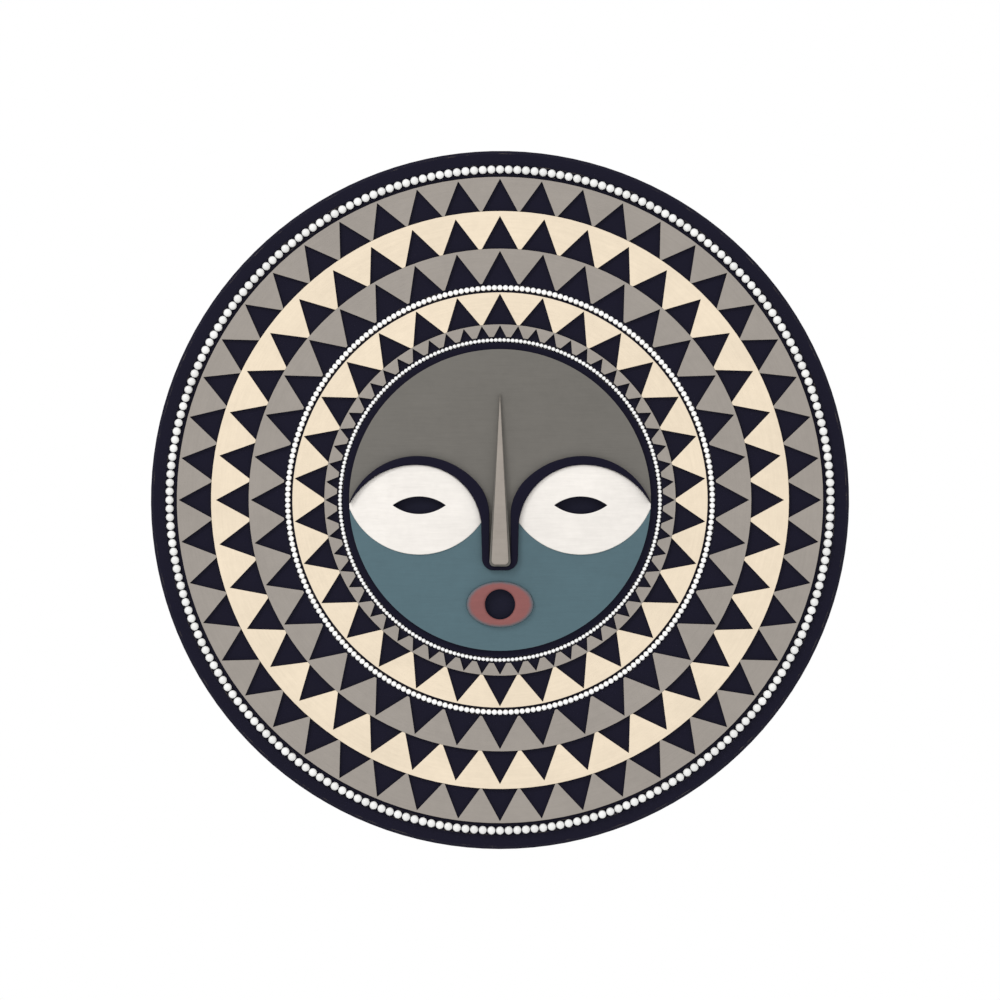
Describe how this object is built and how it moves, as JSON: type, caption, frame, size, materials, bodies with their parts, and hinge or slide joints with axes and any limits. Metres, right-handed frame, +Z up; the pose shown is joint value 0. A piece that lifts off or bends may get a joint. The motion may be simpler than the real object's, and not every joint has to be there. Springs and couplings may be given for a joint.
{
  "type": "wall mask",
  "caption": "Round painted wooden wall mask: stylised face with long nose inside rings of triangular teeth and rows of white beads, on battens with swinging D-ring hangers.",
  "frame": {"origin": "centre of the back, on the vertical batten's back face, which lies on the wall", "axes": "+Z up, +X to the right as the face is seen from in front, +Y into the wall, so the face looks along -Y"},
  "size_m": [0.4, 0.0345, 0.3999],
  "materials": {
    "navy_paint": "matt painted plywood",
    "grey_paint": "matt paint",
    "cream_paint": "matt paint",
    "white_bead": "glossy",
    "dark_grey_paint": "matt paint",
    "teal_paint": "matt paint",
    "eye_paint": "matt paint",
    "tan_paint": "matt paint",
    "red_paint": "matt paint",
    "bare_wood": "planed, unpainted",
    "zinc_steel": "bright zinc",
    "brass_steel": "worn brass plating"
  },
  "bodies": {
    "mask": {"base_board": "navy_paint", "beads_outer": "white_bead", "band_outer_grey": "grey_paint", "band_outer_cream": "cream_paint", "band_middle_grey": "grey_paint", "beads_middle": "white_bead", "band_inner_cream": "cream_paint", "band_inner_grey": "grey_paint", "beads_inner": "white_bead", "face_disc": "navy_paint", "forehead_panel": "dark_grey_paint", "cheek_panel": "teal_paint", "eye_left": "eye_paint", "eye_right": "eye_paint", "brow_nose_ribbon": "navy_paint", "nose_bridge": "dark_grey_paint", "nose_wedge": "tan_paint", "lips": "red_paint", "batten_vertical": "bare_wood", "batten_horizontal": "bare_wood", "batten_screws": "zinc_steel", "face_screws": "zinc_steel", "hanger_strap_left": "brass_steel", "hanger_strap_right": "brass_steel", "hanger_screws": "zinc_steel"},
    "ring_left": {"hanger_ring_left": "brass_steel"},
    "ring_right": {"hanger_ring_right": "brass_steel"}
  },
  "joints": [
    {"name": "ring_left_swing", "type": "hinge", "parent": "mask", "child": "ring_left", "pos_m": [-0.09, -0.00774, 0.078], "axis": [1, 0, 0], "range_deg": [0, 180]},
    {"name": "ring_right_swing", "type": "hinge", "parent": "mask", "child": "ring_right", "pos_m": [0.09, -0.00774, 0.078], "axis": [1, 0, 0], "range_deg": [0, 180]}
  ]
}
